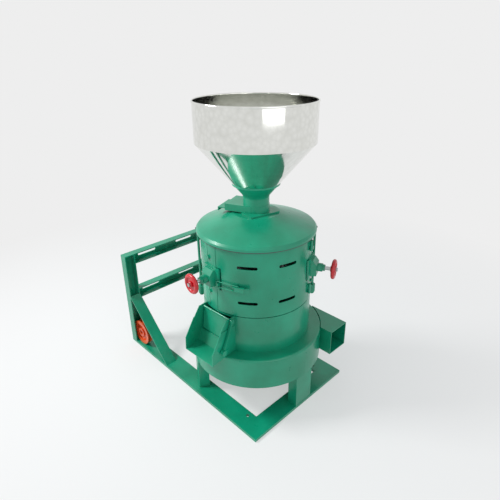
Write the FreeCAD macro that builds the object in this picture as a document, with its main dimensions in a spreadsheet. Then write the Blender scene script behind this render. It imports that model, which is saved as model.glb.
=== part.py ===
"""Vertical emery-roller rice huller: base with motor stand, pan, casing, dome, feed and outlet.

Millimetres. The frame's origin is the centre of the foundation-bolt rectangle on the floor, +X runs
from the motor stand to the front rail and +Z is up. Pieces round the spindle are made about their
own Z axis, with the outward direction along their own +X, and are then turned to their azimuth.
"""
import FreeCAD, Part
import os
import re
import Sketcher

VEC = FreeCAD.Vector

SIZES = {
    # base of flat bar, and where the spindle stands on it
    "base_width": 525, "rail_width": 80, "rail_thickness": 12, "front_rail_width": 76,
    "rear_overhang": 162, "front_overhang": 104,
    "bolt_spacing": 600, "bolt_edge": 60, "bolt_hole": 14,
    "spindle_x": 140, "spindle_y": 10.5,
    # motor stand of channel and angle
    "channel_width": 50, "channel_depth": 37, "channel_wall": 4.5, "stand_height": 469,
    "bar_spacing": 181, "slot_length": 95, "slot_width": 15, "slot_spacing": 212, "slot_shift": -25.5,
    "brace_height": 250, "brace_reach": 260, "angle_width": 50, "angle_wall": 5,
    # legs, pan and bran duct
    "leg_radius": 263, "leg_width": 90, "leg_depth": 42, "leg_wall": 5,
    "pan_bottom": 151, "pan_height": 126, "pan_radius": 265.6, "pan_wall": 3, "pan_round": 8,
    "pan_mouth": 160, "pan_floor_wall": 4,
    "duct_width": 102, "duct_height": 107, "duct_offset": 196, "duct_reach": 277, "duct_wall": 3,
    # lower casing and grain bowl
    "casing_radius": 215, "casing_wall": 3, "casing_height": 153, "flange_thickness": 6,
    "flange_bore": 138, "bran_slot_inner": 156, "bran_slot_outer": 200, "bran_slot_angle": 70,
    "bowl_radius": 150, "bowl_wall": 4, "bowl_rise": 13,
    # posts, covers and screens
    "post_azimuth": 26.5, "post_width": 46, "post_height": 266, "blade_slot": 34, "slot_floor": 205,
    "strip_width": 12, "strip_depth": 12, "cover_wall": 2.5, "cover_gap": 2.5, "cover_clearance": 3,
    "seat_gap": 0.3, "screen_radius": 140, "screen_wall": 2,
    # rubber blades, screws and handwheels
    "blade_tip": 135, "blade_back": 196, "blade_bevel": 6, "blade_foot": 10, "blade_head": 6,
    "screw_rise": 138, "screw_radius": 7, "screw_head_radius": 11, "screw_head": 5,
    "screw_head_reach": 189, "screw_tail": 14, "running_gap": 0.08, "pocket_gap": 0.3,
    "plate_height": 80, "plate_width": 84, "plate_wall": 7, "housing_width": 50, "housing_depth": 28,
    "boss_radius": 16, "boss_end": 262, "nut_flats": 24, "nut_height": 9,
    "wheel_radius": 38, "wheel_rim": 7.5, "wheel_gap": 21, "wheel_hub": 12, "wheel_web": 4,
    # door, hinge and latch
    "door_clearance": 3, "door_slot_length": 73, "door_slot_width": 12, "door_slot_rise": 61,
    "door_slot_drop": 63, "door_slot_spread": 20, "notch_gap": 5,
    "hinge_radius": 222, "hinge_shift": 0.4, "knuckle_radius": 5.5, "knuckle_length": 20,
    "hinge_rise": 34, "hinge_drop": 52, "pin_radius": 3, "pin_gap": 0.05, "leaf_wall": 3,
    "leaf_angle": 3.6,
    "latch_drop": 16, "latch_azimuth": -66, "latch_pivot": 225, "lever_length": 50,
    "lever_width": 17, "lever_wall": 1.5, "ear_radius": 3, "latch_pin": 2, "bail_offset": 18, "bail_length": 89.5,
    "bail_angle": -6, "bail_wire": 2, "bail_spread": 11.2,
    "keeper_shift": 10.9, "keeper_height": 12, "keeper_depth": 8, "keeper_width": 5,
    # dome, neck, gate and hopper
    "spider_ring": 226, "spider_wall": 4, "spider_arm": 30, "spider_hub": 52, "spider_hub_height": 26,
    "dome_radius": 228.5, "dome_rim": 9, "dome_shoulder": 222, "dome_shoulder_rise": 8,
    "dome_height": 65, "dome_flat": 88, "dome_wall": 3, "dome_round": 14,
    "neck_bore": 45, "neck_wall": 4, "neck_foot": 124, "neck_foot_wall": 6, "neck_round": 24, "neck_azimuth": -12,
    "collar_wall": 5, "collar_height": 26, "neck_height": 81, "flare_height": 48, "neck_mouth": 89,
    "neck_lip": 6, "gate_azimuth": 22, "gate_box_reach": 106, "slide_edge": 1.5, "slide_wall": 3,
    "slide_rise": 5, "slide_reach": 138, "slide_lip": 12,
    "hopper_radius": 216, "cone_height": 148.6, "hopper_depth": 138, "hopper_wall": 2,
    "hopper_collar": 62, "rim_wire": 3.5,
    # tie rods between the lower casing's lugs and the dome
    "tie_azimuth": -134, "tie_radius": 5, "tie_reach": 224.5, "tie_ear": 9, "tie_nut": 16,
    "tie_nut_height": 8, "tie_tail": 3, "lug_rise": 18, "lug_height": 14, "lug_radius": 12,
    # spindle, bearings, roller and what else turns
    "shaft_radius": 20, "shaft_tail": 18, "shaft_tail_radius": 18, "shaft_head": 23, "bearing_radius": 40,
    "bearing_width": 18, "housing_radius": 52, "housing_flange": 90, "housing_flange_height": 14,
    "housing_height": 77, "pulley_radius": 90, "pulley_gap": 11, "pulley_height": 60,
    "groove_depth": 12, "groove_top": 15, "groove_floor": 7, "sweeper_gap": 7, "sweeper_lift": 8,
    "sweeper_reach": 252, "paddle_inner": 176, "paddle_wall": 5, "sweeper_hub": 40,
    "roller_radius": 125, "roller_rise": 10, "roller_ring": 50, "ring_groove": 3,
    "auger_radius": 100, "auger_clearance": 8, "auger_core": 34, "auger_wall": 6, "auger_blades": 3,
    # outlet
    "spout_azimuth": -88, "spout_width": 150, "spout_wall": 2.5, "spout_drop": 1, "ledge_step": 21,
    "flap_rod_step": 6, "flap_rod_drop": 9, "flap_rod_radius": 4, "ledge_drop": 105,
    "chute_step": 103, "chute_lip_drop": 8, "chute_drop": 40, "chute_back_step": 38,
    "window_width": 140, "window_rise": 23, "flap_gap": 7, "flap_wall": 2.5, "flap_tail": 3,
    "flap_lever": 4, "flap_lever_gap": 6.5, "flap_knee_step": 35, "flap_knee_drop": 77,
    "flap_foot_step": 55, "flap_foot_drop": 119, "flap_weight": 20, "flap_weight_length": 14,
    # motor pulley that is kept inside the left motor post, and bolt heads
    "motor_pulley_radius": 60, "motor_pulley_width": 25, "motor_pulley_bore": 12,
    "motor_pulley_rim": 16, "motor_pulley_hub": 22, "motor_pulley_web": 6,
    "bolt_flats": 14, "bolt_head": 6, "bolt_shift": 4.7, "bolt_rise": 67, "bolt_drop": 58,
}

doc = FreeCAD.newDocument("rice_huller")
sheet = doc.addObject("Spreadsheet::Sheet", "dim")
for row, (alias, value) in enumerate(SIZES.items(), 1):
    sheet.set(f"A{row}", alias)
    sheet.set(f"B{row}", str(value))
    sheet.setAlias(f"B{row}", alias)
doc.recompute()

NODES = []
TURN_X = FreeCAD.Rotation(VEC(0, 1, 0), 90)
TURN_Y = FreeCAD.Rotation(VEC(1, 0, 0), -90)

# derived places, each worked out from the sheet's values
FRONT_END = "(bolt_spacing / 2 + front_overhang)"
REAR_END = "(-bolt_spacing / 2 - rear_overhang)"
STAND_FACE = f"({REAR_END} + channel_depth)"
PAN_TOP = "(pan_bottom + pan_height)"
PAN_FLOOR = "(pan_bottom + pan_floor_wall)"
CASING_TOP = f"({PAN_TOP} + casing_height)"
FLANGE_LOW = f"({CASING_TOP} - flange_thickness)"
POST_TOP = f"({CASING_TOP} + post_height)"
POST_EDGE = "asin(post_width / 2 / casing_radius)"
COVER_EDGE = "asin((post_width / 2 + cover_gap) / casing_radius)"
COVER_SPAN = f"120 - 2 * {COVER_EDGE} / 1 deg"
COVER_INNER = "(casing_radius - cover_wall)"
COVER_LOW = f"({CASING_TOP} + cover_clearance)"
COVER_HIGH = f"({POST_TOP} - cover_clearance)"
SEAT = f"({COVER_INNER} - seat_gap)"
SCREEN_OUTER = "(screen_radius + screen_wall)"
SCREW_HEIGHT = f"({CASING_TOP} + screw_rise)"
SCREW_END = "(boss_end + nut_height + wheel_gap + wheel_hub + screw_tail)"
PLATE_LOW = f"({SCREW_HEIGHT} - plate_height / 2)"
DOOR_CENTRE = "(post_azimuth - 60)"
HINGES = (f"({CASING_TOP} + hinge_rise)", f"({POST_TOP} - hinge_drop)")
DOME_LOW = f"({POST_TOP} + spider_wall)"
DOME_TOP = f"({DOME_LOW} + dome_height)"
NECK_FOOT = f"({DOME_TOP} + neck_foot_wall)"
COLLAR_TOP = f"({NECK_FOOT} + collar_height)"
SLIDE_LOW = f"({NECK_FOOT} + slide_rise)"
SLIDE_HALF = "(neck_bore + slide_edge)"
NECK_TOP = f"({COLLAR_TOP} + neck_height)"
NECK_WAIST = f"({NECK_TOP} - flare_height)"
HOPPER_SHOULDER = f"({NECK_TOP} + cone_height)"
HOPPER_TOP = f"({HOPPER_SHOULDER} + hopper_depth)"
BEARING_TOP = f"({POST_TOP} + spider_hub_height)"
PULLEY_LOW = "(pan_bottom - pulley_gap - pulley_height)"
BOWL_BOTTOM = f"({PAN_TOP} + bowl_rise)"
BLADE_LOW = f"({CASING_TOP} + blade_foot)"
WHEEL_REACH = "(boss_end + nut_height + wheel_gap + wheel_hub)"
DOOR_LOW = f"({CASING_TOP} + door_clearance)"
DOOR_SLOTS = (f"({CASING_TOP} + door_slot_rise)", f"({POST_TOP} - door_slot_drop)")
LATCH = f"({SCREW_HEIGHT} - latch_drop)"
BOLTS = (f"({CASING_TOP} + bolt_rise)", f"({POST_TOP} - bolt_drop)")
HOUSING_TOP = f"({PAN_FLOOR} + housing_height)"
SWEEPER_LOW = f"({PAN_FLOOR} + sweeper_gap)"
SWEEPER_ARM = f"({HOUSING_TOP} + sweeper_lift)"
ROLLER_LOW = f"({CASING_TOP} + roller_rise)"
ROLLER_HIGH = f"({ROLLER_LOW} + 4 * roller_ring)"
AUGER_TOP = f"({POST_TOP} - auger_clearance)"
SHAFT_LOW = f"({PULLEY_LOW} - shaft_tail)"
SHAFT_HIGH = f"({BEARING_TOP} + shaft_head)"
SPOUT_TOP = f"({CASING_TOP} - spout_drop)"
LEDGE_REACH = "(casing_radius + ledge_step)"
LEDGE_HEIGHT = f"({CASING_TOP} - ledge_drop)"
CHUTE_REACH = "(casing_radius + chute_step)"
CHUTE_LIP = f"({PAN_TOP} - chute_lip_drop)"
CHUTE_TOP = f"({CASING_TOP} - chute_drop)"
CHUTE_BACK = "(casing_radius + chute_back_step)"
WINDOW_LOW = f"({PAN_TOP} + window_rise)"
LUG_LOW = f"({CASING_TOP} - lug_height)"
LUG_TOP = f"({CASING_TOP} + lug_rise)"
TIE_LOW = f"({LUG_LOW} - tie_nut_height - tie_tail)"
TIE_ENDS = ("tie_azimuth", "(tie_azimuth + 180)")
ROD_REACH = "(casing_radius + flap_rod_step)"
ROD_HEIGHT = f"({CASING_TOP} - flap_rod_drop)"
ARMS = {"right": "post_azimuth", "left": "(post_azimuth - 120)", "rear": "(post_azimuth + 120)"}


def link(expression):
    """Put the sheet's name in front of each alias in an expression."""
    return re.sub(r"[a-z_]+", lambda word: f"dim.{word[0]}" if word[0] in SIZES else word[0],
                  str(expression))


def place(item, x=0, y=0, z=0, turn=None):
    """Bind an object's position, and its turn about Z when one is given."""
    if turn is not None:
        item.setExpression("Placement.Rotation.Angle", link(turn))
    for axis, expression in zip("xyz", (x, y, z)):
        item.setExpression(f"Placement.Base.{axis}", link(expression))
    return item


def make(kind, sizes, at, rotation=None, turn=None):
    """A primitive whose sizes and place are bound to the sheet."""
    item = doc.addObject(f"Part::{kind}", kind)
    for name, expression in sizes.items():
        item.setExpression(name, link(expression))
    if rotation is not None:
        item.Placement = FreeCAD.Placement(VEC(), rotation)
    return place(item, *at, turn=turn)


def box(x, y, z, turn=None):
    """A box from (low, high) pairs along each axis."""
    spans = [f"({high}) - ({low})" for low, high in (x, y, z)]
    sizes = dict(zip(("Length", "Width", "Height"), spans))
    return make("Box", sizes, (x[0], y[0], z[0]), turn=turn)


def slab(x, width, z):
    """A box centred across Y."""
    return box(x, (f"-({width}) / 2", f"({width}) / 2"), z)


def cylinder(radius, low, high, angle=360, turn=None):
    """A cylinder, or a sector of one that starts at the turn, about Z."""
    sizes = {"Radius": radius, "Height": f"({high}) - ({low})", "Angle": angle}
    return make("Cylinder", sizes, (0, 0, low), turn=turn)


def rod(radius, start, length, rotation=None):
    """A cylinder from a point, along Z or along the axis that the rotation gives."""
    return make("Cylinder", {"Radius": radius, "Height": length}, start, rotation)


def hexagon(flats, start, length, rotation=None):
    """A hexagonal bar across its flats."""
    item = doc.addObject("Part::Prism", "Prism")
    item.Polygon = 6
    item.setExpression("Circumradius", link(f"({flats}) / sqrt(3)"))
    item.setExpression("Height", link(length))
    if rotation is not None:
        item.Placement = FreeCAD.Placement(VEC(), rotation)
    return place(item, *start)


def fuse(*items):
    joined = doc.addObject("Part::MultiFuse", "Fusion")
    joined.Shapes = list(items)
    return joined


def cut(base, *tools):
    result = doc.addObject("Part::Cut", "Cut")
    result.Base = base
    result.Tool = tools[0] if len(tools) == 1 else fuse(*tools)
    return result


def common(first, second):
    result = doc.addObject("Part::Common", "Common")
    result.Base = first
    result.Tool = second
    return result


def group(*items):
    """Separate solids that share one node."""
    result = doc.addObject("Part::Compound", "Compound")
    result.Links = list(items)
    return result


def turned(item, turn):
    """An item turned about Z from where it was made."""
    return place(group(item), turn=turn)


def ring(outer, inner, low, high, angle=360, turn=None):
    """A ring or an arc of one about Z."""
    return cut(cylinder(outer, low, high, angle, turn), cylinder(inner, f"{low} - 1", f"{high} + 1"))


def sketch(body, plane, points):
    """A closed outline whose corners are bound to the sheet, on one of the body's own planes."""
    outline = body.newObject("Sketcher::SketchObject", "Outline")
    support = [item for item in body.Origin.OriginFeatures if item.Role == plane][0]
    outline.AttachmentSupport = (support, [""])
    outline.MapMode = "FlatFace"
    values = [tuple(float(sheet.evalExpression(link(part))) for part in point) for point in points]
    count = len(points)
    for index in range(count):
        start, end = values[index], values[(index + 1) % count]
        outline.addGeometry(Part.LineSegment(VEC(*start, 0), VEC(*end, 0)), False)
    for index in range(count):
        outline.addConstraint(Sketcher.Constraint("Coincident", index, 2, (index + 1) % count, 1))
    for index, (point, value) in enumerate(zip(points, values)):
        for direction, part, number in zip("XY", point, value):
            name = f"{direction}{index}"
            constraint = Sketcher.Constraint(f"Distance{direction}", -1, 1, index, 1, number)
            outline.renameConstraint(outline.addConstraint(constraint), name)
            outline.setExpression(f"Constraints.{name}", link(f"({part}) * 1 mm"))
    return outline


def pad(plane, points, length, side="One side", reverse=False):
    """A body of one padded outline."""
    body = doc.addObject("PartDesign::Body", "Body")
    feature = body.newObject("PartDesign::Pad", "Pad")
    feature.Profile = sketch(body, plane, points)
    feature.SideType = side
    feature.Reversed = reverse
    feature.setExpression("Length", link(length))
    body.Tip = feature
    return body


def revolve(points, rounds=()):
    """A body turned about Z; each round is (radius of the edge, its height, size of the round)."""
    body = doc.addObject("PartDesign::Body", "Body")
    feature = body.newObject("PartDesign::Revolution", "Revolution")
    feature.Profile = outline = sketch(body, "XZ_Plane", points)
    feature.ReferenceAxis = (outline, ["V_Axis"])
    feature.Angle = 360
    body.Tip = feature
    for edge_radius, edge_height, size in rounds:
        doc.recompute()
        wanted = [float(sheet.evalExpression(link(part))) for part in (edge_radius, edge_height)]
        names = []
        for number, edge in enumerate(body.Tip.Shape.Edges, 1):
            if not isinstance(edge.Curve, Part.Circle):
                continue
            found = edge.Curve.Radius, edge.Curve.Center.z
            if max(abs(a - b) for a, b in zip(found, wanted)) < 0.01:
                names.append(f"Edge{number}")
        sharp = body.Tip
        rounded = body.newObject("PartDesign::Fillet", "Fillet")
        rounded.Base = (sharp, names)
        rounded.setExpression("Radius", link(size))
        body.Tip = rounded
    return body


def node(label, item, at=(0, 0, 0), turn=None):
    """Name a finished piece and put it in its place."""
    item.Label = label
    place(item, *at, turn=turn)
    NODES.append(item)


def on_spindle(label, item, turn=0):
    """A piece made about the spindle's axis, turned to its azimuth."""
    node(label, item, ("spindle_x", "spindle_y", 0), turn)


def channel(width, depth, wall, length):
    """A channel bar along Z: its web's outer face on X = 0 and its mouth towards +X."""
    half = f"({width}) / 2"
    outline = [(0, f"-{half}"), (depth, f"-{half}"), (depth, f"-{half} + {wall}"),
               (wall, f"-{half} + {wall}"), (wall, f"{half} - {wall}"), (depth, f"{half} - {wall}"),
               (depth, half), (0, half)]
    return pad("XY_Plane", outline, length)


# base: two side rails, and a front rail between them
for name, side in (("left", -1), ("right", 1)):
    middle = f"{side} * (base_width - rail_width) / 2"
    rail = box((REAR_END, FRONT_END), (f"{middle} - rail_width / 2", f"{middle} + rail_width / 2"),
               (0, "rail_thickness"))
    holes = [rod("bolt_hole / 2", (f"{end} * bolt_spacing / 2", f"{side} * (base_width / 2 - bolt_edge)", -1),
                 "rail_thickness + 2") for end in (-1, 1)]
    node(f"base_rail_{name}", cut(rail, *holes))
node("base_rail_front", group(slab((f"{FRONT_END} - front_rail_width", FRONT_END),
                                   "base_width - 2 * rail_width", (0, "rail_thickness"))))

# motor stand: two capped posts, two slotted bars between them and two braces of angle
for name, side in (("left", -1), ("right", 1)):
    height = "stand_height - rail_thickness"
    column = channel("channel_width", "channel_depth", "channel_wall", height)
    cap = slab((0, "channel_depth"), "channel_width", (f"{height} - channel_wall", height))
    node(f"motor_post_{name}", fuse(column, cap),
         (REAR_END, f"{side} * (base_width - channel_width) / 2", "rail_thickness"))
    rise = "(angle_wall * sqrt(brace_height^2 + brace_reach^2) / brace_reach)"
    run = "(angle_wall * sqrt(brace_height^2 + brace_reach^2) / brace_height)"
    deep_rise = f"({rise} * angle_width / angle_wall)"
    deep_run = f"({run} * angle_width / angle_wall)"
    upper_leg = pad("XZ_Plane", [(0, "brace_height"), ("brace_reach", 0), (f"brace_reach - {run}", 0),
                                 (0, f"brace_height - {rise}")], "angle_width", reverse=side > 0)
    side_leg = pad("XZ_Plane", [(0, "brace_height"), ("brace_reach", 0),
                                (f"brace_reach - {deep_run}", 0), (0, f"brace_height - {deep_rise}")],
                   "angle_wall", reverse=side > 0)
    node(f"motor_brace_{name}", fuse(upper_leg, side_leg),
         (STAND_FACE, f"{side} * (base_width / 2 - angle_width)", "rail_thickness"))

for name, height in (("upper", "stand_height - channel_width / 2"),
                     ("lower", "stand_height - channel_width / 2 - bar_spacing")):
    bar = channel("channel_width", "channel_depth", "channel_wall", "base_width - 2 * channel_width")
    slots = []
    for end in (-1, 1):
        middle = f"(base_width / 2 - channel_width + slot_shift + {end} * slot_spacing / 2)"
        flat = "(slot_length - slot_width) / 2"
        slots.append(box((-1, "channel_wall + 1"), ("-slot_width / 2", "slot_width / 2"),
                         (f"{middle} - {flat}", f"{middle} + {flat}")))
        for tip in (-1, 1):
            slots.append(rod("slot_width / 2", (-1, 0, f"{middle} + {tip} * {flat}"),
                             "channel_wall + 2", TURN_X))
    bar = cut(bar, *slots)
    bar.Placement = FreeCAD.Placement(VEC(), TURN_Y)
    node(f"motor_bar_{name}", bar, (REAR_END, "channel_width - base_width / 2", height))

# legs: folded channel, welded web outwards under the pan's edge
for name, azimuth in (("left", -120), ("front", 0), ("right", 120)):
    leg = channel("leg_width", "leg_depth", "leg_wall", "pan_bottom - rail_thickness")
    label = f"leg_{name}"
    node(label, leg, (f"spindle_x + leg_radius * cos({azimuth})",
                      f"spindle_y + leg_radius * sin({azimuth})", "rail_thickness"), azimuth + 180)

# pan: a rolled wall with a top annulus, on a round floor plate; a square duct leaves it sideways
duct_low = "(duct_offset - duct_width / 2)"
duct_high = "(duct_offset + duct_width / 2)"
duct_floor = f"({PAN_TOP} - duct_height)"
inner_duct = ((0, "duct_reach + 1"), (f"{duct_low} + duct_wall", f"{duct_high} - duct_wall"),
              (f"{duct_floor} + duct_wall", f"{PAN_TOP} - duct_wall"))
pan = revolve([("pan_radius", "pan_bottom + pan_floor_wall"), ("pan_radius", PAN_TOP),
               ("pan_mouth", PAN_TOP), ("pan_mouth", f"{PAN_TOP} - pan_wall"),
               ("pan_radius - pan_wall", f"{PAN_TOP} - pan_wall"),
               ("pan_radius - pan_wall", "pan_bottom + pan_floor_wall")],
              [("pan_radius", PAN_TOP, "pan_round"),
               ("pan_radius - pan_wall", f"{PAN_TOP} - pan_wall", "pan_round - pan_wall")])
on_spindle("bran_pan", cut(pan, box(*inner_duct)))
on_spindle("pan_floor", ring("pan_radius", "shaft_radius + 5", "pan_bottom",
                             "pan_bottom + pan_floor_wall"))
duct = box((0, "duct_reach"), (duct_low, duct_high), (duct_floor, PAN_TOP))
on_spindle("bran_duct", cut(duct, box(*inner_duct),
                            cylinder("pan_radius", f"{duct_floor} - 1", f"{PAN_TOP} + 1")))

# lower casing: a rolled wall under a flange with bran slots, and a window to the outlet
window = slab((0, "casing_radius + 1"), "window_width", (WINDOW_LOW, FLANGE_LOW))
casing_wall = ring("casing_radius", "casing_radius - casing_wall", PAN_TOP, FLANGE_LOW)
opening = cut(casing_wall, window)
flange = ring("casing_radius", "flange_bore", FLANGE_LOW, CASING_TOP)
slots = [ring("bran_slot_outer", "bran_slot_inner", f"{FLANGE_LOW} - 1", f"{CASING_TOP} + 1",
              "bran_slot_angle", f"post_azimuth - spout_azimuth + 60 - bran_slot_angle / 2 + {step}")
         for step in (0, 120, 240)]
lugs = [turned(fuse(slab(("casing_radius - casing_wall", "tie_reach"), "2 * lug_radius", (LUG_LOW, LUG_TOP)),
                    rod("lug_radius", ("tie_reach", 0, LUG_LOW), f"{LUG_TOP} - {LUG_LOW}")),
               f"{azimuth} - spout_azimuth") for azimuth in TIE_ENDS]
bores = [turned(rod("tie_radius + pin_gap", ("tie_reach", 0, f"{LUG_LOW} - 1"), "post_height"),
                f"{azimuth} - spout_azimuth") for azimuth in TIE_ENDS]
clear = fuse(cylinder("casing_radius - casing_wall", PAN_TOP, FLANGE_LOW),
             cylinder("casing_radius + seat_gap", CASING_TOP, POST_TOP))
on_spindle("lower_casing", fuse(opening, cut(flange, *slots), cut(fuse(*lugs), clear, *bores)),
           "spout_azimuth")

# grain bowl: catches the milled rice under the roller and leads it to the outlet window
bowl = cut(cylinder("bowl_radius", BOWL_BOTTOM, FLANGE_LOW),
           cylinder("bowl_radius - bowl_wall", f"{BOWL_BOTTOM} + bowl_wall", f"{FLANGE_LOW} + 1"))
trough = common(slab((0, "casing_radius"), "window_width", (WINDOW_LOW, FLANGE_LOW)),
                cylinder("casing_radius - casing_wall", WINDOW_LOW, FLANGE_LOW))
trough_hollow = slab(("shaft_radius + 10", "casing_radius"), "window_width - 2 * bowl_wall",
                     (f"{WINDOW_LOW} + bowl_wall", f"{FLANGE_LOW} + 1"))
bowl_hollow = cylinder("bowl_radius - bowl_wall", f"{BOWL_BOTTOM} + bowl_wall", f"{FLANGE_LOW} + 1")
shaft_hole = cylinder("shaft_radius + 2", f"{BOWL_BOTTOM} - 1", CASING_TOP)
on_spindle("grain_bowl", cut(fuse(bowl, trough), bowl_hollow, trough_hollow, shaft_hole),
           "spout_azimuth")

# posts: columns between the casing's flange and the dome, each slotted for its rubber blade
for name, azimuth in ARMS.items():
    column = common(cylinder("casing_radius", CASING_TOP, POST_TOP),
                    slab((SCREEN_OUTER, "casing_radius"), "post_width", (CASING_TOP, POST_TOP)))
    strip = common(cylinder(SEAT, CASING_TOP, POST_TOP),
                   slab((f"{SEAT} - strip_depth", SEAT), "post_width + 2 * strip_width",
                        (CASING_TOP, POST_TOP)))
    post = cut(fuse(column, strip),
               cylinder(f"{SCREEN_OUTER} + seat_gap", f"{CASING_TOP} - 1", f"{POST_TOP} + 1"),
               slab(("screen_radius", "slot_floor"), "blade_slot", (f"{CASING_TOP} - 1", f"{POST_TOP} + 1")),
               rod("screw_radius + 1", ("slot_floor - 1", 0, SCREW_HEIGHT), "casing_radius", TURN_X))
    on_spindle(f"post_{name}", post, azimuth)

# fixed covers between the posts at the rear, and the perforated screens inside them
for name, azimuth in (("left_rear", "(post_azimuth - 180)"), ("right_rear", "(post_azimuth + 60)")):
    cover = ring("casing_radius", COVER_INNER, COVER_LOW, COVER_HIGH, COVER_SPAN,
                 f"{azimuth} - ({COVER_SPAN}) / 2")
    on_spindle(f"cover_{name}", cover, 0)
screen_span = "(120 - 2 * asin((blade_slot / 2 + 1) / screen_radius) / 1 deg)"
on_spindle("rice_screens", group(*[
    ring(SCREEN_OUTER, "screen_radius", CASING_TOP, POST_TOP, screen_span,
         f"{azimuth} + 60 - {screen_span} / 2") for azimuth in ARMS.values()]))

# rubber blades, their screws, brackets, lock nuts and handwheels
for name, azimuth in ARMS.items():
    bevel = "(blade_slot / 2 - seat_gap - blade_bevel)"
    half = "(blade_slot / 2 - seat_gap)"
    bar = pad("XY_Plane", [("blade_tip", f"-{bevel}"), ("blade_tip + blade_bevel", f"-{half}"),
                           ("blade_back", f"-{half}"), ("blade_back", half),
                           ("blade_tip + blade_bevel", half), ("blade_tip", bevel)],
              "post_height - blade_foot - blade_head")
    place(bar, 0, 0, BLADE_LOW)
    pocket = rod("screw_head_radius + pocket_gap",
                 ("screw_head_reach - screw_head - pocket_gap", 0, SCREW_HEIGHT),
                 "screw_head + 2 * pocket_gap", TURN_X)
    throat = rod("screw_radius + pocket_gap", ("screw_head_reach", 0, SCREW_HEIGHT),
                 "blade_back - screw_head_reach + 1", TURN_X)
    on_spindle(f"rubber_blade_{name}", cut(bar, pocket, throat), azimuth)

    plate = common(cylinder("casing_radius + plate_wall", PLATE_LOW, f"{PLATE_LOW} + plate_height"),
                   slab(("casing_radius / 2", "casing_radius + plate_wall"), "plate_width",
                        (PLATE_LOW, f"{PLATE_LOW} + plate_height")))
    face = "(casing_radius + housing_depth)"
    housing = pad("XZ_Plane", [("casing_radius - 10", f"{PLATE_LOW} + 6"), (face, f"{PLATE_LOW} + 12"),
                               (face, f"{SCREW_HEIGHT} + boss_radius"),
                               (f"{face} - 14", f"{PLATE_LOW} + plate_height - 6"),
                               ("casing_radius - 10", f"{PLATE_LOW} + plate_height - 6")],
                  "housing_width", "Symmetric")
    boss = rod("boss_radius", ("casing_radius", 0, SCREW_HEIGHT), "boss_end - casing_radius", TURN_X)
    welded = [plate, housing, boss]
    if name == "left":
        keeper = slab(("casing_radius", "casing_radius + plate_wall + keeper_depth"), "keeper_width",
                      (f"{LATCH} - keeper_height / 2", f"{LATCH} + keeper_height / 2"))
        welded.append(turned(keeper, "keeper_shift"))
    bracket = cut(fuse(*welded),
                  cylinder("casing_radius", f"{PLATE_LOW} - 1", f"{PLATE_LOW} + plate_height + 1"),
                  rod("screw_radius + running_gap", ("casing_radius / 2", 0, SCREW_HEIGHT),
                      "casing_radius", TURN_X))
    on_spindle(f"screw_bracket_{name}", bracket, azimuth)

    head = rod("screw_head_radius", ("screw_head_reach - screw_head", 0, SCREW_HEIGHT),
               "screw_head", TURN_X)
    shank = rod("screw_radius", ("screw_head_reach", 0, SCREW_HEIGHT),
                f"{SCREW_END} - screw_head_reach", TURN_X)
    on_spindle(f"adjusting_screw_{name}", fuse(head, shank), azimuth)

    rim = make("Torus", {"Radius1": "wheel_radius - wheel_rim", "Radius2": "wheel_rim"},
               (WHEEL_REACH, 0, SCREW_HEIGHT), TURN_X)
    web = rod("wheel_radius - wheel_rim", (f"{WHEEL_REACH} - wheel_web / 2", 0, SCREW_HEIGHT),
              "wheel_web", TURN_X)
    hub = rod("wheel_hub", (f"{WHEEL_REACH} - wheel_hub", 0, SCREW_HEIGHT), "wheel_hub * 5 / 3", TURN_X)
    bore = rod("screw_radius + pin_gap", (f"{WHEEL_REACH} - wheel_hub - 1", 0, SCREW_HEIGHT),
               "3 * wheel_hub", TURN_X)
    on_spindle(f"handwheel_{name}", cut(fuse(rim, web, hub), bore), azimuth)

nuts = []
bolts = []
for name, azimuth in ARMS.items():
    nut = cut(hexagon("nut_flats", ("boss_end", 0, SCREW_HEIGHT), "nut_height", TURN_X),
              rod("screw_radius + running_gap", ("boss_end - 1", 0, SCREW_HEIGHT),
                  "nut_height + 2", TURN_X))
    nuts.append(place(nut, turn=azimuth))
    for height in BOLTS:
        bolt = cut(hexagon("bolt_flats", ("casing_radius - 1", 0, height), "bolt_head + 1", TURN_X),
                   cylinder("casing_radius", f"{height} - bolt_flats", f"{height} + bolt_flats"))
        shift = "bolt_shift" if name == "right" else "-bolt_shift"
        bolts.append(place(bolt, turn=f"{azimuth} + {shift}"))
on_spindle("lock_nuts", group(*nuts))
on_spindle("post_bolts", group(*bolts))

# front door: a rolled sheet with four slots and a notch for each bracket, on two hinges
door_edge = f"({DOOR_CENTRE} + 60 - {COVER_EDGE} / 1 deg + hinge_shift)"
skin = ring("casing_radius", COVER_INNER, DOOR_LOW, COVER_HIGH, COVER_SPAN,
            f"{DOOR_CENTRE} - ({COVER_SPAN}) / 2")
cuts = []
for height in DOOR_SLOTS:
    for side in (-1, 1):
        flat = "(door_slot_length - door_slot_width) / 2"
        pieces = [slab((0, "casing_radius + 5"), f"2 * {flat}",
                       (f"{height} - door_slot_width / 2", f"{height} + door_slot_width / 2"))]
        for end in (-1, 1):
            pieces.append(rod("door_slot_width / 2", (0, f"{end} * {flat}", height),
                              "casing_radius + 5", TURN_X))
        cuts.append(place(fuse(*pieces), turn=f"{DOOR_CENTRE} + {side} * door_slot_spread"))
for azimuth in (ARMS["right"], ARMS["left"]):
    notch = slab(("casing_radius / 2", "casing_radius + 5"), "plate_width + 2 * notch_gap",
                 (f"{PLATE_LOW} - notch_gap", f"{PLATE_LOW} + plate_height + notch_gap"))
    cuts.append(turned(notch, azimuth))
leaves = []
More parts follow.
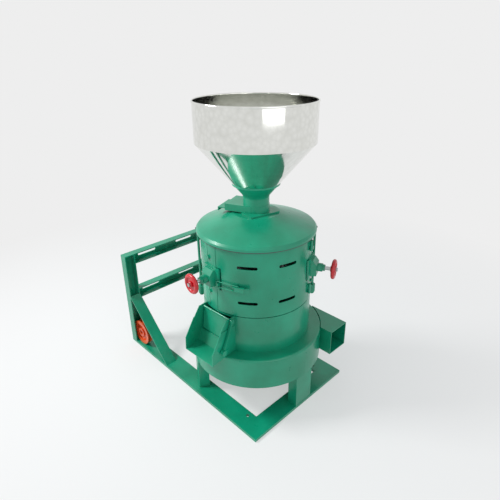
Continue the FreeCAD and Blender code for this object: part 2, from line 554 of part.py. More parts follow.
for height in HINGES:
    top = (f"{height} + knuckle_length", f"{height} + 2 * knuckle_length")
    leaf = ring("casing_radius + leaf_wall", "casing_radius", *top, "leaf_angle",
                f"{door_edge} - leaf_angle")
    knuckle = turned(rod("knuckle_radius", ("hinge_radius", 0, top[0]), "knuckle_length"), door_edge)
    leaves += [leaf, knuckle]
    bore = rod("pin_radius + pin_gap", ("hinge_radius", 0, f"{height} - 1"), "2 * knuckle_length + 5")
    cuts.append(turned(bore, door_edge))
on_spindle("front_door", cut(fuse(skin, *leaves), *cuts))

hinges = []
for height in HINGES:
    low = (height, f"{height} + knuckle_length - seat_gap")
    leaf = ring("casing_radius + leaf_wall", "casing_radius", *low, "leaf_angle", 0)
    knuckle = rod("knuckle_radius", ("hinge_radius", 0, low[0]), "knuckle_length - seat_gap")
    pin = rod("pin_radius", ("hinge_radius", 0, low[0]), "2 * knuckle_length + 3")
    clear = cylinder("casing_radius", f"{height} - 1", f"{height} + knuckle_length")
    hinges.append(place(cut(fuse(leaf, knuckle, pin), clear), turn=door_edge))
on_spindle("hinge_leaves", group(*hinges))

# toggle latch: base and lever on the door, and a wire bail over the left bracket's keeper
latch = LATCH
inside = "(lever_width / 2 - lever_wall - seat_gap)"
foot = ring("casing_radius + leaf_wall", "casing_radius", f"{latch} - lever_width",
            f"{latch} + lever_width", 6, -3)
ears = []
for bottom in (f"{latch} + {inside} - lever_wall", f"{latch} - {inside}"):
    ears.append(slab(("casing_radius", "latch_pivot"), "2 * ear_radius", (bottom, f"{bottom} + lever_wall")))
    ears.append(rod("ear_radius", ("latch_pivot", 0, bottom), "lever_wall"))
clear = cylinder("casing_radius", f"{latch} - 30", f"{latch} + 30")
bore = rod("latch_pin + pin_gap", ("latch_pivot", 0, f"{latch} - lever_width"), "2 * lever_width")
on_spindle("latch_base", cut(fuse(foot, *ears), clear, bore), "latch_azimuth")

low, high = f"{latch} - lever_width / 2", f"{latch} + lever_width / 2"
shell = box(("latch_pivot - 4", "latch_pivot + 5"), (-4, "lever_length"), (low, high))
hollow = box(("latch_pivot - 6", "latch_pivot + 5 - lever_wall"), (-6, "lever_length + 1"),
             (f"{low} + lever_wall", f"{high} - lever_wall"))
heel = box(("latch_pivot - 6", "latch_pivot + 6"), (-6, "ear_radius + 1"),
           (f"{low} + lever_wall", f"{high} - lever_wall"))
tip = pad("XY_Plane", [("latch_pivot + 5", "lever_length - 12"),
                       ("latch_pivot - 3", "lever_length + 8"),
                       ("latch_pivot - 3 - lever_wall", "lever_length + 7"),
                       ("latch_pivot + 5 - lever_wall", "lever_length - 14")], "lever_width")
place(tip, 0, 0, low)
trim = box(("latch_pivot - 6", "latch_pivot + 6"), ("lever_length - 10", "lever_length + 1"),
           (f"{latch} - lever_width", f"{latch} + lever_width"))
pin = rod("latch_pin", ("latch_pivot", 0, low), "lever_width")
bail_hole = rod("latch_pin + pin_gap", ("latch_pivot - 1", "bail_offset", f"{low} - 1"),
                "lever_width + 2")
on_spindle("latch_lever", fuse(cut(shell, hollow, heel, trim, bail_hole), tip, pin), "latch_azimuth")

wires = [rod("bail_wire", (0, "-bail_length", f"{side} * bail_spread"), "bail_length", TURN_Y)
         for side in (-1, 1)]
ends = [rod("bail_wire", (0, y, "-bail_spread"), "2 * bail_spread") for y in (0, "-bail_length")]
bail = place(fuse(*wires, *ends), "latch_pivot - 1", "bail_offset", latch, "bail_angle")
on_spindle("latch_bail", group(bail), "latch_azimuth")

# dome on its spider: the spider's ring closes the posts, and its hub holds the upper bearing
hub_low = POST_TOP
arms = [turned(slab((0, "spider_ring - 20"), "spider_arm", (POST_TOP, f"{POST_TOP} + 2 * spider_wall")),
               f"{azimuth} + 60") for azimuth in ARMS.values()]
hub = cylinder("spider_hub", hub_low, f"{hub_low} + spider_hub_height")
ears = [turned(fuse(slab(("spider_ring - 20", "tie_reach"), "2 * tie_ear", (POST_TOP, DOME_LOW)),
                    rod("tie_ear", ("tie_reach", 0, POST_TOP), "spider_wall")), azimuth)
        for azimuth in TIE_ENDS]
bores = [turned(rod("tie_radius + pin_gap", ("tie_reach", 0, f"{POST_TOP} - 1"), "spider_wall + 2"), azimuth)
         for azimuth in TIE_ENDS]
spider = fuse(ring("spider_ring", "screen_radius + 5", POST_TOP, DOME_LOW), hub, *arms, *ears)
on_spindle("upper_bearing_bracket", cut(
    spider, cylinder("bearing_radius + pin_gap", f"{hub_low} + spider_hub_height - bearing_width",
                     DOME_TOP),
    cylinder("shaft_radius + 5", f"{hub_low} - 1", DOME_TOP), *bores))

# tie rods: riveted into the ring's ears, with nuts under the lower casing's lugs
ties = []
for azimuth in TIE_ENDS:
    bar = rod("tie_radius", ("tie_reach", 0, TIE_LOW), f"{DOME_LOW} - {TIE_LOW}")
    nut = cut(hexagon("tie_nut", ("tie_reach", 0, f"{LUG_LOW} - tie_nut_height"), "tie_nut_height"),
              rod("tie_radius + pin_gap", ("tie_reach", 0, TIE_LOW), "lug_height"))
    ties.append(turned(group(bar, nut), azimuth))
on_spindle("tie_rods", group(*ties))

rim_top = f"({DOME_LOW} + dome_rim)"
shoulder = f"({rim_top} + dome_shoulder_rise)"
dome = revolve([("dome_radius", DOME_LOW), ("dome_radius", rim_top), ("dome_shoulder", shoulder),
                ("dome_flat", DOME_TOP), ("neck_bore", DOME_TOP),
                ("neck_bore", f"{DOME_TOP} - dome_wall"), ("dome_flat", f"{DOME_TOP} - dome_wall"),
                ("dome_shoulder - dome_wall", f"{shoulder} - dome_wall"),
                ("dome_radius - 2 * dome_wall", DOME_LOW)],
               [("dome_flat", DOME_TOP, "dome_round"),
                ("dome_flat", f"{DOME_TOP} - dome_wall", "dome_round")])
on_spindle("dome_cover", dome)

# feed neck: a square foot, a collar with the gate's slot, a box that guides the slide, and a flare
flare = revolve([("neck_bore", COLLAR_TOP), ("neck_bore + neck_wall", COLLAR_TOP),
                 ("neck_bore + neck_wall", NECK_WAIST), ("neck_mouth - 4", f"{NECK_TOP} - neck_lip"),
                 ("neck_mouth", f"{NECK_TOP} - neck_lip"), ("neck_mouth", NECK_TOP),
                 ("neck_mouth - neck_lip", NECK_TOP), ("neck_bore", NECK_WAIST)],
                [("neck_bore + neck_wall", NECK_WAIST, "neck_round")])
foot = turned(slab(("-neck_foot / 2", "neck_foot / 2"), "neck_foot", (DOME_TOP, NECK_FOOT)),
              "neck_azimuth - gate_azimuth")
collar = cylinder("neck_bore + collar_wall", NECK_FOOT, COLLAR_TOP)
gate_side = f"({SLIDE_HALF} + seat_gap)"
gate_box = cut(
    slab(("-gate_box_reach", 0), f"2 * ({gate_side} + neck_wall)", (NECK_FOOT, COLLAR_TOP)),
    slab(("-gate_box_reach - 1", 0), f"2 * {gate_side}", (SLIDE_LOW, f"{COLLAR_TOP} - neck_wall")))
slot_heights = (f"{SLIDE_LOW} - seat_gap", f"{SLIDE_LOW} + slide_wall + seat_gap")
slot = fuse(slab(("-gate_box_reach - 1", 0), f"2 * {gate_side}", slot_heights),
            cylinder(gate_side, *slot_heights))
on_spindle("feed_neck", cut(fuse(flare, foot, gate_box, collar), slot,
                            cylinder("neck_bore", DOME_TOP, COLLAR_TOP)), "gate_azimuth")

slide_heights = (SLIDE_LOW, f"{SLIDE_LOW} + slide_wall")
slide = slab(("-slide_reach", 0), f"2 * {SLIDE_HALF}", slide_heights)
lip = slab(("-slide_reach", "-slide_reach + slide_wall"), f"2 * {SLIDE_HALF}",
           (f"{SLIDE_LOW} - slide_lip", SLIDE_LOW))
on_spindle("feed_slide", fuse(slide, lip, cylinder(SLIDE_HALF, *slide_heights)), "gate_azimuth")

# hopper: a cone and a cylinder of galvanised sheet with a rolled rim
wall = "hopper_wall"
hopper = revolve([("hopper_collar", NECK_TOP), ("neck_mouth", NECK_TOP),
                  ("hopper_radius", HOPPER_SHOULDER), ("hopper_radius", HOPPER_TOP),
                  (f"hopper_radius - {wall}", HOPPER_TOP),
                  (f"hopper_radius - {wall}", f"{HOPPER_SHOULDER} + {wall} / 2"),
                  (f"neck_mouth - {wall} / 2", f"{NECK_TOP} + {wall}"),
                  ("hopper_collar", f"{NECK_TOP} + {wall}")])
rim = make("Torus", {"Radius1": "hopper_radius - 1", "Radius2": "rim_wire"}, (0, 0, HOPPER_TOP))
on_spindle("feed_hopper", fuse(hopper, rim))

# spindle and what turns with it
on_spindle("spindle_shaft", fuse(cylinder("shaft_radius", PULLEY_LOW, SHAFT_HIGH),
                                 cylinder("shaft_tail_radius", SHAFT_LOW, PULLEY_LOW)))
tip = "(pulley_radius - groove_depth)"
pulley_points = [("shaft_radius + pin_gap", PULLEY_LOW), ("pulley_radius", PULLEY_LOW)]
for groove in range(3):
    middle = f"{PULLEY_LOW} + pulley_height * {2 * groove + 1} / 6"
    pulley_points += [("pulley_radius", f"{middle} - groove_top / 2"),
                      (tip, f"{middle} - groove_floor / 2"), (tip, f"{middle} + groove_floor / 2"),
                      ("pulley_radius", f"{middle} + groove_top / 2")]
pulley_points += [("pulley_radius", f"{PULLEY_LOW} + pulley_height"),
                  ("shaft_radius + pin_gap", f"{PULLEY_LOW} + pulley_height")]
on_spindle("spindle_pulley", revolve(pulley_points))

roller_points = [("shaft_radius + pin_gap", ROLLER_LOW), ("roller_radius", ROLLER_LOW)]
for joint in (1, 2, 3):
    middle = f"{ROLLER_LOW} + roller_ring * {joint}"
    roller_points += [("roller_radius", f"{middle} - ring_groove / 2"),
                      ("roller_radius - ring_groove", f"{middle} - ring_groove / 2"),
                      ("roller_radius - ring_groove", f"{middle} + ring_groove / 2"),
                      ("roller_radius", f"{middle} + ring_groove / 2")]
roller_points += [("roller_radius", ROLLER_HIGH), ("shaft_radius + pin_gap", ROLLER_HIGH)]
on_spindle("emery_roller", revolve(roller_points))

core = revolve([("shaft_radius + pin_gap", ROLLER_HIGH), ("auger_radius", ROLLER_HIGH),
                ("auger_core", f"{ROLLER_HIGH} + 12"), ("auger_core", AUGER_TOP),
                ("shaft_radius + pin_gap", AUGER_TOP)])
vanes = [turned(box(("auger_core - 4", "auger_radius"), ("-auger_wall / 2", "auger_wall / 2"),
                    (ROLLER_HIGH, AUGER_TOP)), turn) for turn in (0, 120, 240)]
on_spindle("feed_auger", fuse(core, *vanes))

hub = ring("sweeper_hub", "shaft_radius + pin_gap", SWEEPER_ARM, PAN_TOP)
arms = []
for turn in (0, 120, 240):
    arm = box(("sweeper_hub - 8", "sweeper_reach"), ("-paddle_wall", "paddle_wall"),
              (SWEEPER_ARM, f"{SWEEPER_ARM} + paddle_wall * 2"))
    paddle = box(("paddle_inner", "sweeper_reach"), ("-paddle_wall / 2", "paddle_wall / 2"),
                 (SWEEPER_LOW, f"{SWEEPER_ARM} + paddle_wall * 2"))
    arms.append(place(fuse(arm, paddle), turn=turn))
on_spindle("bran_sweeper", fuse(hub, *arms))

seat_low = f"({HOUSING_TOP} - bearing_width)"
on_spindle("bearing_housing", revolve([
    ("shaft_radius + 5", "pan_bottom + pan_floor_wall"),
    ("housing_flange", "pan_bottom + pan_floor_wall"),
    ("housing_flange", "pan_bottom + pan_floor_wall + housing_flange_height"),
    ("housing_radius", "pan_bottom + pan_floor_wall + housing_flange_height"),
    ("housing_radius", HOUSING_TOP), ("bearing_radius + pin_gap", HOUSING_TOP),
    ("bearing_radius + pin_gap", seat_low), ("shaft_radius + 5", seat_low)]))
on_spindle("spindle_bearings", group(*[
    ring("bearing_radius", "shaft_radius + pin_gap", low, f"{low} + bearing_width")
    for low in (seat_low, f"{POST_TOP} + spider_hub_height - bearing_width")]))

# outlet: a welded box round the window, a tray that slips over it, and the flap on its rod
half = "(spout_width / 2)"
chord = f"sqrt(casing_radius^2 - {half}^2)"
cheeks = [("casing_radius / 2", SPOUT_TOP), (f"{LEDGE_REACH} + 6", SPOUT_TOP),
          (f"{LEDGE_REACH} + 34", CHUTE_TOP), (f"{LEDGE_REACH} + 34", f"{CHUTE_TOP} - 40"),
          (LEDGE_REACH, LEDGE_HEIGHT), ("casing_radius / 2", LEDGE_HEIGHT)]
spout = pad("XZ_Plane", cheeks, "spout_width", "Symmetric")
spout_hollow = slab(("casing_radius / 2 - 1", CHUTE_REACH), "spout_width - 2 * spout_wall",
                    (f"{LEDGE_HEIGHT} + spout_wall", CASING_TOP))
rod_hole = rod("flap_rod_radius + pin_gap", (ROD_REACH, "-spout_width", ROD_HEIGHT),
               "2 * spout_width", TURN_Y)
on_spindle("grain_spout", cut(spout, spout_hollow, rod_hole,
                              cylinder("casing_radius", PAN_TOP, CASING_TOP)), "spout_azimuth")

tray_outline = [("casing_radius / 2", CHUTE_TOP), (f"{LEDGE_REACH} + 34", CHUTE_TOP),
                (f"{CHUTE_REACH} - 3", f"{LEDGE_HEIGHT} - 5"), (CHUTE_REACH, CHUTE_LIP),
                (CHUTE_BACK, f"{PAN_TOP} + spout_wall / 2"),
                ("casing_radius / 2", f"{PAN_TOP} + spout_wall / 2")]
tray = pad("XZ_Plane", tray_outline, "spout_width + 2 * spout_wall", "Symmetric")
tray_hollow = pad("XZ_Plane", [(f"{LEDGE_REACH} + seat_gap", f"{CHUTE_TOP} + 1"),
                               (f"{CHUTE_REACH} + 2", f"{CHUTE_TOP} + 1"),
                               (f"{CHUTE_REACH} + 2", f"{CHUTE_LIP} + spout_wall"),
                               (f"{CHUTE_BACK} + spout_wall", f"{PAN_TOP} + 3 / 2 * spout_wall"),
                               (f"{LEDGE_REACH} + seat_gap", LEDGE_HEIGHT)],
                  "spout_width", "Symmetric")
tray_back = slab(("casing_radius / 2 - 1", f"{LEDGE_REACH} + seat_gap + 1"), "spout_width",
                 (LEDGE_HEIGHT, f"{CHUTE_TOP} + 1"))
under = pad("XZ_Plane", [("casing_radius / 2 - 1", LEDGE_HEIGHT),
                         (f"{LEDGE_REACH} - spout_wall", LEDGE_HEIGHT),
                         (f"{CHUTE_BACK} - spout_wall", PAN_TOP), ("casing_radius / 2 - 1", PAN_TOP)],
            "spout_width", "Symmetric")
on_spindle("outlet_chute", cut(tray, tray_hollow, tray_back, under,
                               cylinder("casing_radius", PAN_TOP, CASING_TOP)), "spout_azimuth")

hinge_rod = rod("flap_rod_radius", (ROD_REACH, "-spout_width / 2 - 6", ROD_HEIGHT),
                "spout_width + 20", TURN_Y)
flap_low = f"({LEDGE_HEIGHT} + spout_wall + flap_tail)"
flap = pad("XZ_Plane", [(f"{ROD_REACH} - 2", ROD_HEIGHT),
                        (f"{ROD_REACH} - 2 + flap_wall", ROD_HEIGHT),
                        (f"{LEDGE_REACH} - 4 + flap_wall", flap_low), (f"{LEDGE_REACH} - 4", flap_low)],
           "spout_width - 2 * flap_gap", "Symmetric")
on_spindle("outlet_flap", fuse(hinge_rod, flap), "spout_azimuth")

knee = ("(casing_radius + flap_knee_step)", f"({CASING_TOP} - flap_knee_drop)")
foot = ("(casing_radius + flap_foot_step)", f"({CASING_TOP} - flap_foot_drop)")
side = "(spout_width / 2 + spout_wall + flap_lever_gap)"
strap = pad("XZ_Plane", [(f"{ROD_REACH} - flap_lever", ROD_HEIGHT), (f"{ROD_REACH} + flap_lever", ROD_HEIGHT),
                         (f"{knee[0]} + flap_lever", knee[1]), (f"{foot[0]} + flap_lever", foot[1]),
                         (f"{foot[0]} - flap_lever", foot[1]), (f"{knee[0]} - flap_lever", knee[1])],
            "2 * flap_lever", "Symmetric")
place(strap, 0, side, 0)
eye = rod("2 * flap_lever", (ROD_REACH, f"{side} - flap_lever", ROD_HEIGHT), "2 * flap_lever", TURN_Y)
weight = hexagon("flap_weight", (foot[0], f"{side} - flap_lever", foot[1]), "flap_weight_length", TURN_Y)
bore = rod("flap_rod_radius + pin_gap", (ROD_REACH, 0, ROD_HEIGHT), "spout_width", TURN_Y)
on_spindle("flap_lever", cut(fuse(strap, eye, weight), bore), "spout_azimuth")

# motor pulley, kept inside the left post's channel on the rail
rim_inner = "(motor_pulley_radius - motor_pulley_rim)"
tip = "(motor_pulley_radius - groove_depth)"
web = [f"(motor_pulley_width {sign} motor_pulley_web) / 2" for sign in "-+"]
pulley = revolve([("motor_pulley_bore", 0), ("motor_pulley_hub", 0), ("motor_pulley_hub", web[0]),
                  (rim_inner, web[0]), (rim_inner, 0), ("motor_pulley_radius", 0),
                  ("motor_pulley_radius", "(motor_pulley_width - groove_top) / 2"),
                  (tip, "(motor_pulley_width - groove_floor) / 2"),
                  (tip, "(motor_pulley_width + groove_floor) / 2"),
                  ("motor_pulley_radius", "(motor_pulley_width + groove_top) / 2"),
                  ("motor_pulley_radius", "motor_pulley_width"), (rim_inner, "motor_pulley_width"),
                  (rim_inner, web[1]), ("motor_pulley_hub", web[1]),
                  ("motor_pulley_hub", "motor_pulley_width"),
                  ("motor_pulley_bore", "motor_pulley_width")])
pulley.Placement = FreeCAD.Placement(VEC(), TURN_Y)
node("motor_pulley", pulley, (f"{STAND_FACE} + motor_pulley_radius - channel_depth / 2 - 8",
                              "(channel_width - motor_pulley_width) / 2 - base_width / 2",
                              "rail_thickness + motor_pulley_radius"))

doc.recompute()
problems = [item.Label for item in doc.Objects if {"Invalid", "Error"} & set(item.State)]
problems += [item.Label for item in NODES if item.Shape.isNull() or not item.Shape.isValid()]
if problems:
    raise RuntimeError(f"these did not build: {problems}")
os.makedirs("parts", exist_ok=True)
for item in NODES:
    item.Shape.exportStep(f"parts/{item.Label}.step")
    print(f"{item.Label:24s} {len(item.Shape.Solids):3d} solids {item.Shape.Volume / 1000:10.1f} cm3")
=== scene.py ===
"""Dresses the upright rice mill: enamel, galvanised sheet, steel, emery and rubber, in metres."""
import math

import bpy
from mathutils import Matrix, Vector


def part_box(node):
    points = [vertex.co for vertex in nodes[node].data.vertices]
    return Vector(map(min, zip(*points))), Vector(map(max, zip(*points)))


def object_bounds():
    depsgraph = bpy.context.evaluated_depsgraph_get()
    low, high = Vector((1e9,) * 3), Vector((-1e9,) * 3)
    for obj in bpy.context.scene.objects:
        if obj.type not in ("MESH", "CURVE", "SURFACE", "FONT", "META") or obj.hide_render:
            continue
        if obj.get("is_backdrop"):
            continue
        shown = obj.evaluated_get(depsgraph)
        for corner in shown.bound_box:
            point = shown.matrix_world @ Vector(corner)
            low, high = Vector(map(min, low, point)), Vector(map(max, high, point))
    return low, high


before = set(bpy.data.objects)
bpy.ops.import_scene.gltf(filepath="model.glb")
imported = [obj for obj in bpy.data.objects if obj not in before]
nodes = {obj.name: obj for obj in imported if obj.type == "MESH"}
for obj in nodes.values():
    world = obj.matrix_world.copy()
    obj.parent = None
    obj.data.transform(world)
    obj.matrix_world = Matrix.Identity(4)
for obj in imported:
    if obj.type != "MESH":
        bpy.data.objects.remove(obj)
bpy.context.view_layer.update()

# ---- enamel: the frame, casing, dome and covers are brushed and sprayed with green gloss enamel
# enamel: the frame, casing, dome and covers are brushed and sprayed with green gloss enamel
# over mild steel. It is a little uneven in tone and carries pale specks of dust at random.


def linear(code):
    """An sRGB hex colour as linear red, green, blue and alpha."""
    values = [int(code[i:i + 2], 16) / 255 for i in (1, 3, 5)]
    return [v / 12.92 if v <= 0.04045 else ((v + 0.055) / 1.055) ** 2.4 for v in values] + [1.0]


def add(material, kind, settings=(), links=()):
    """Adds one node: settings by socket or property name, links from another node's output."""
    node = material.node_tree.nodes.new(kind)
    for name, value in dict(settings).items():
        if name in node.inputs:
            node.inputs[name].default_value = value
        else:
            setattr(node, name, value)
    for name, (source, output) in dict(links).items():
        material.node_tree.links.new(source.outputs[output], node.inputs[name])
    return node


def finish_material(name, base_code, roughness, metallic=0.0, **sockets):
    """A material with its shader, and the shader and coordinates to build its patterns on."""
    material = bpy.data.materials.new(name)
    material.use_nodes = True
    shader = material.node_tree.nodes["Principled BSDF"]
    shader.inputs["Base Color"].default_value = linear(base_code)
    shader.inputs["Roughness"].default_value = roughness
    shader.inputs["Metallic"].default_value = metallic
    for socket, value in sockets.items():
        shader.inputs[socket.replace("_", " ")].default_value = value
    place = add(material, "ShaderNodeTexCoord")
    return material, shader, place


def enamel(name, fresh, dull, edge):
    """Gloss enamel with orange peel of 3 mm, colour drift of 150 mm and dust of 40 mm."""
    material, shader, place = finish_material(name, fresh, 0.28, Coat_Weight=0.15,
                                              Coat_Roughness=0.12)
    drift = add(material, "ShaderNodeTexNoise", {"Scale": 1 / 0.15, "Detail": 3.0},
                {"Vector": (place, "Object")})
    blend = add(material, "ShaderNodeValToRGB", links={"Fac": (drift, "Fac")})
    blend.color_ramp.elements[0].position = 0.30
    blend.color_ramp.elements[0].color = linear(dull)
    blend.color_ramp.elements[1].position = 0.70
    blend.color_ramp.elements[1].color = linear(fresh)
    dust = add(material, "ShaderNodeTexNoise", {"Scale": 1 / 0.04, "Detail": 6.0, "Roughness": 0.7},
               {"Vector": (place, "Object")})
    spots = add(material, "ShaderNodeValToRGB", links={"Fac": (dust, "Fac")})
    spots.color_ramp.elements[0].position = 0.62
    spots.color_ramp.elements[0].color = (0, 0, 0, 1)
    spots.color_ramp.elements[1].position = 0.80
    spots.color_ramp.elements[1].color = (0.35, 0.35, 0.35, 1)
    dusty = add(material, "ShaderNodeMix", {"data_type": "RGBA", "blend_type": "MIX"})
    material.node_tree.links.new(spots.outputs["Color"], dusty.inputs["Factor"])
    material.node_tree.links.new(blend.outputs["Color"], dusty.inputs[6])
    dusty.inputs[7].default_value = linear(edge)
    material.node_tree.links.new(dusty.outputs[2], shader.inputs["Base Color"])
    sheen = add(material, "ShaderNodeMapRange", {"To Min": 0.20, "To Max": 0.42},
                {"Value": (dust, "Fac")})
    material.node_tree.links.new(sheen.outputs["Result"], shader.inputs["Roughness"])
    peel = add(material, "ShaderNodeTexNoise", {"Scale": 1 / 0.003, "Detail": 2.0},
               {"Vector": (place, "Object")})
    wave = add(material, "ShaderNodeTexNoise", {"Scale": 1 / 0.06, "Detail": 2.0},
               {"Vector": (place, "Object")})
    bump = add(material, "ShaderNodeBump", {"Strength": 0.06, "Distance": 0.0004},
               {"Height": (peel, "Fac")})
    dents = add(material, "ShaderNodeBump", {"Strength": 0.25, "Distance": 0.0012},
                {"Height": (wave, "Fac"), "Normal": (bump, "Normal")})
    material.node_tree.links.new(dents.outputs["Normal"], shader.inputs["Normal"])
    return material


def dress(material, *names):
    """Gives CAD nodes their finish."""
    for name in names:
        nodes[name].data.materials.clear()
        nodes[name].data.materials.append(material)


dress(enamel("green_gloss_enamel", "#0C9A76", "#07805F", "#2DAA8A"),
      "base_rail_left", "base_rail_right", "base_rail_front", "motor_post_left",
      "motor_post_right", "motor_bar_upper", "motor_bar_lower", "motor_brace_left",
      "motor_brace_right", "leg_left", "leg_front", "leg_right", "bran_pan", "pan_floor",
      "bran_duct", "lower_casing", "post_left", "post_right", "post_rear", "cover_left_rear",
      "cover_right_rear", "dome_cover", "feed_neck", "grain_spout", "outlet_chute",
      "screw_bracket_left", "screw_bracket_right", "screw_bracket_rear", "front_door",
      "latch_base", "latch_lever", "latch_bail", "tie_rods", "hinge_leaves", "outlet_flap",
      "flap_lever", "feed_slide", "lock_nuts", "post_bolts")

# ---- handwheels: cast iron rims and hubs dipped in red gloss enamel, one at the end of each
# adjusting screw.
dress(enamel("red_gloss_enamel", "#D8202C", "#B5121E", "#E05A5A"),
      "handwheel_left", "handwheel_right", "handwheel_rear")

# ---- motor pulley: cast iron with one V groove, brushed with orange primer and kept in the corner
# of the motor stand.
dress(enamel("orange_primer", "#E8642C", "#C9481C", "#EE9464"), "motor_pulley")

# ---- hopper: bright galvanised sheet, rolled into a cone and a cylinder. Zinc leaves large faint
# crystals and the sheet is nearly a mirror, with slight waves from rolling.
zinc, shader, place = finish_material("bright_galvanised_sheet", "#E4E6E2", 0.08, 1.0)
crystals = add(zinc, "ShaderNodeTexVoronoi", {"Scale": 1 / 0.018, "feature": "F1"},
               {"Vector": (place, "Object")})
tone = add(zinc, "ShaderNodeValToRGB", links={"Fac": (crystals, "Distance")})
tone.color_ramp.elements[0].color = linear("#EAEBE7")
tone.color_ramp.elements[1].color = linear("#DCDDD8")
zinc.node_tree.links.new(tone.outputs["Color"], shader.inputs["Base Color"])
cloud = add(zinc, "ShaderNodeTexNoise", {"Scale": 1 / 0.05, "Detail": 4.0},
            {"Vector": (place, "Object")})
gloss = add(zinc, "ShaderNodeMapRange", {"To Min": 0.05, "To Max": 0.12}, {"Value": (cloud, "Fac")})
zinc.node_tree.links.new(gloss.outputs["Result"], shader.inputs["Roughness"])
stretch = add(zinc, "ShaderNodeMapping", {"Scale": (1.0, 1.0, 0.25)}, {"Vector": (place, "Object")})
roll = add(zinc, "ShaderNodeTexNoise", {"Scale": 1 / 0.09, "Detail": 1.5},
           {"Vector": (stretch, "Vector")})
ripple = add(zinc, "ShaderNodeBump", {"Strength": 0.18, "Distance": 0.003}, {"Height": (roll, "Fac")})
zinc.node_tree.links.new(ripple.outputs["Normal"], shader.inputs["Normal"])
dress(zinc, "feed_hopper")

# ---- spindle, adjusting screws, bearings and screens: bright steel, turned and ground, with fine
# tool marks 1 mm apart.
steel, shader, place = finish_material("turned_steel", "#B4B7B8", 0.30, 1.0)
marks = add(steel, "ShaderNodeTexNoise", {"Scale": 1 / 0.001, "Detail": 2.0},
            {"Vector": (place, "Object")})
worn = add(steel, "ShaderNodeMapRange", {"To Min": 0.22, "To Max": 0.40}, {"Value": (marks, "Fac")})
steel.node_tree.links.new(worn.outputs["Result"], shader.inputs["Roughness"])
dress(steel, "adjusting_screw_left", "adjusting_screw_right", "adjusting_screw_rear",
      "spindle_shaft", "spindle_bearings", "rice_screens")

# ---- castings: grey iron for the bearing housing, bowl, bracket, auger, sweeper and pulley. They
# are sand-cast, with a grain of 1.5 mm, and machined where they seat.
iron, shader, place = finish_material("grey_cast_iron", "#55585A", 0.62, 0.6)
grain = add(iron, "ShaderNodeTexNoise", {"Scale": 1 / 0.0015, "Detail": 3.0},
            {"Vector": (place, "Object")})
sand = add(iron, "ShaderNodeBump", {"Strength": 0.4, "Distance": 0.0004}, {"Height": (grain, "Fac")})
iron.node_tree.links.new(sand.outputs["Normal"], shader.inputs["Normal"])
dress(iron, "bearing_housing", "grain_bowl", "upper_bearing_bracket", "feed_auger",
      "bran_sweeper", "spindle_pulley")

# ---- roller: coarse black emery bonded in rings on the spindle, with open pores between the
# grains. The grit is drawn 2 mm coarse so that it shows.
emery, shader, place = finish_material("bonded_emery", "#2A2A2C", 0.9)
grit = add(emery, "ShaderNodeTexVoronoi", {"Scale": 1 / 0.002}, {"Vector": (place, "Object")})
speck = add(emery, "ShaderNodeValToRGB", links={"Fac": (grit, "Distance")})
speck.color_ramp.elements[0].color = linear("#4A4846")
speck.color_ramp.elements[1].color = linear("#1B1B1D")
emery.node_tree.links.new(speck.outputs["Color"], shader.inputs["Base Color"])
rough = add(emery, "ShaderNodeBump", {"Strength": 0.8, "Distance": 0.001},
            {"Height": (grit, "Distance")})
emery.node_tree.links.new(rough.outputs["Normal"], shader.inputs["Normal"])
dress(emery, "emery_roller")

# ---- blades: three moulded bars of black rubber behind the adjusting screws, with a dull skin
# that is mottled every 4 mm.
rubber, shader, place = finish_material("moulded_rubber", "#1B1B1B", 0.75)
skin = add(rubber, "ShaderNodeTexNoise", {"Scale": 1 / 0.004, "Detail": 4.0},
           {"Vector": (place, "Object")})
dull = add(rubber, "ShaderNodeMapRange", {"To Min": 0.62, "To Max": 0.85}, {"Value": (skin, "Fac")})
rubber.node_tree.links.new(dull.outputs["Result"], shader.inputs["Roughness"])
dress(rubber, "rubber_blade_left", "rubber_blade_right", "rubber_blade_rear")

# ---- floor: a plain pale sheet that keeps the mill's shadow and fades into the backdrop between
# 0.5 m and 2.2 m from the mill.
floor_mesh = bpy.data.meshes.new("floor")
FLOOR_HALF = 30
floor_corners = [(x * FLOOR_HALF, y * FLOOR_HALF, 0) for x, y in ((-1, -1), (1, -1), (1, 1), (-1, 1))]
floor_mesh.from_pydata(floor_corners, [], [(0, 1, 2, 3)])
floor = bpy.data.objects.new("floor", floor_mesh)
bpy.context.scene.collection.objects.link(floor)
BACKDROP = "#EEEEEE"
paper, shader, place = finish_material("pale_floor", BACKDROP, 0.9)


def seen_only(tree_owner):
    """One where a ray comes from the camera, a mirror or a glass, and nought for soft light."""
    ray = add(tree_owner, "ShaderNodeLightPath")
    first = add(tree_owner, "ShaderNodeMath", {"operation": "MAXIMUM"})
    tree_owner.node_tree.links.new(ray.outputs["Is Camera Ray"], first.inputs[0])
    tree_owner.node_tree.links.new(ray.outputs["Is Glossy Ray"], first.inputs[1])
    both = add(tree_owner, "ShaderNodeMath", {"operation": "MAXIMUM"})
    tree_owner.node_tree.links.new(first.outputs[0], both.inputs[0])
    tree_owner.node_tree.links.new(ray.outputs["Is Transmission Ray"], both.inputs[1])
    return both


plain = add(paper, "ShaderNodeEmission", {"Color": linear(BACKDROP), "Strength": 1.0})
away = add(paper, "ShaderNodeVectorMath", {"operation": "LENGTH"}, {"Vector": (place, "Object")})
fade = add(paper, "ShaderNodeMapRange", {"From Min": 0.5, "From Max": 2.2, "To Min": 0.55,
                                         "To Max": 1.0}, {"Value": (away, "Value")})
share = add(paper, "ShaderNodeMath", {"operation": "MULTIPLY"})
paper.node_tree.links.new(seen_only(paper).outputs[0], share.inputs[0])
paper.node_tree.links.new(fade.outputs["Result"], share.inputs[1])
blend = add(paper, "ShaderNodeMixShader", links={"Fac": (share, "Value")})
paper.node_tree.links.new(shader.outputs["BSDF"], blend.inputs[1])
paper.node_tree.links.new(plain.outputs["Emission"], blend.inputs[2])
paper.node_tree.links.new(blend.outputs["Shader"],
                          paper.node_tree.nodes["Material Output"].inputs["Surface"])
floor_mesh.materials.append(paper)
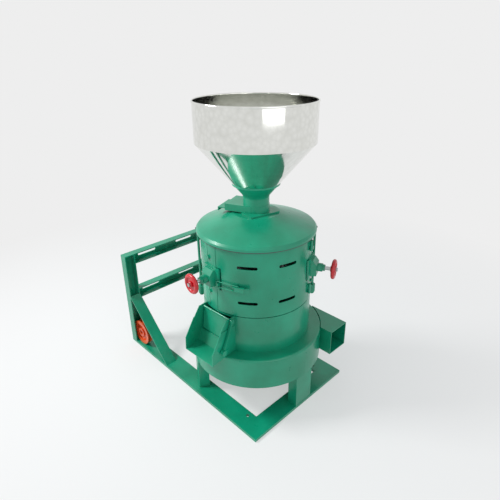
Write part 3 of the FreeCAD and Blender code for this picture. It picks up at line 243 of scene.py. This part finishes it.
floor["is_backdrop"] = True

# ---- light: a soft sky that shows as the plain backdrop, a key from the left and a weak fill
world = bpy.data.worlds.new("studio")
bpy.context.scene.world = world
world.use_nodes = True
sky = world.node_tree.nodes["Background"]
sky.inputs["Color"].default_value = linear("#E6F0F4")
sky.inputs["Strength"].default_value = 0.62
seen = add(world, "ShaderNodeBackground", {"Color": linear(BACKDROP), "Strength": 1.0})
mixed = add(world, "ShaderNodeMixShader", links={"Fac": (seen_only(world), "Value")})
world.node_tree.links.new(sky.outputs["Background"], mixed.inputs[1])
world.node_tree.links.new(seen.outputs["Background"], mixed.inputs[2])
world.node_tree.links.new(mixed.outputs["Shader"],
                          world.node_tree.nodes["World Output"].inputs["Surface"])


def area_light(name, size, power, spot, target):
    """A square soft light that faces its target."""
    lamp = bpy.data.lights.new(name, "AREA")
    lamp.size = size
    lamp.energy = power
    holder = bpy.data.objects.new(name, lamp)
    bpy.context.scene.collection.objects.link(holder)
    aim = (Vector(target) - Vector(spot)).to_track_quat("-Z", "Y")
    holder.matrix_world = Matrix.Translation(spot) @ aim.to_matrix().to_4x4()


low_corner, high_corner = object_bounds()
middle = (low_corner + high_corner) / 2
area_light("key", 0.9, 120, (middle.x - 1.9, middle.y - 1.9, 3.0), middle)
area_light("fill", 2.0, 14, (middle.x + 2.6, middle.y - 0.6, 1.6), middle)

# ---- camera: a standing viewer's height, looking down on the front right corner
lens = bpy.data.cameras.new("camera")
lens.lens = 31.05
lens.sensor_width = 36.0
lens.shift_x = -0.013
lens.shift_y = -0.0208
camera = bpy.data.objects.new("camera", lens)
bpy.context.scene.collection.objects.link(camera)
spindle = (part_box("spindle_shaft")[0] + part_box("spindle_shaft")[1]) / 2
eye = Vector((spindle.x + 1.0812, spindle.y - 1.0650, 1.3324))
aim = (Vector((spindle.x, spindle.y, 0.6467)) - eye).to_track_quat("-Z", "Y")
camera.matrix_world = (Matrix.Translation(eye) @ aim.to_matrix().to_4x4()
                       @ Matrix.Rotation(math.radians(-0.42), 4, "Z"))
bpy.context.scene.camera = camera
bpy.context.scene.view_settings.view_transform = "Standard"
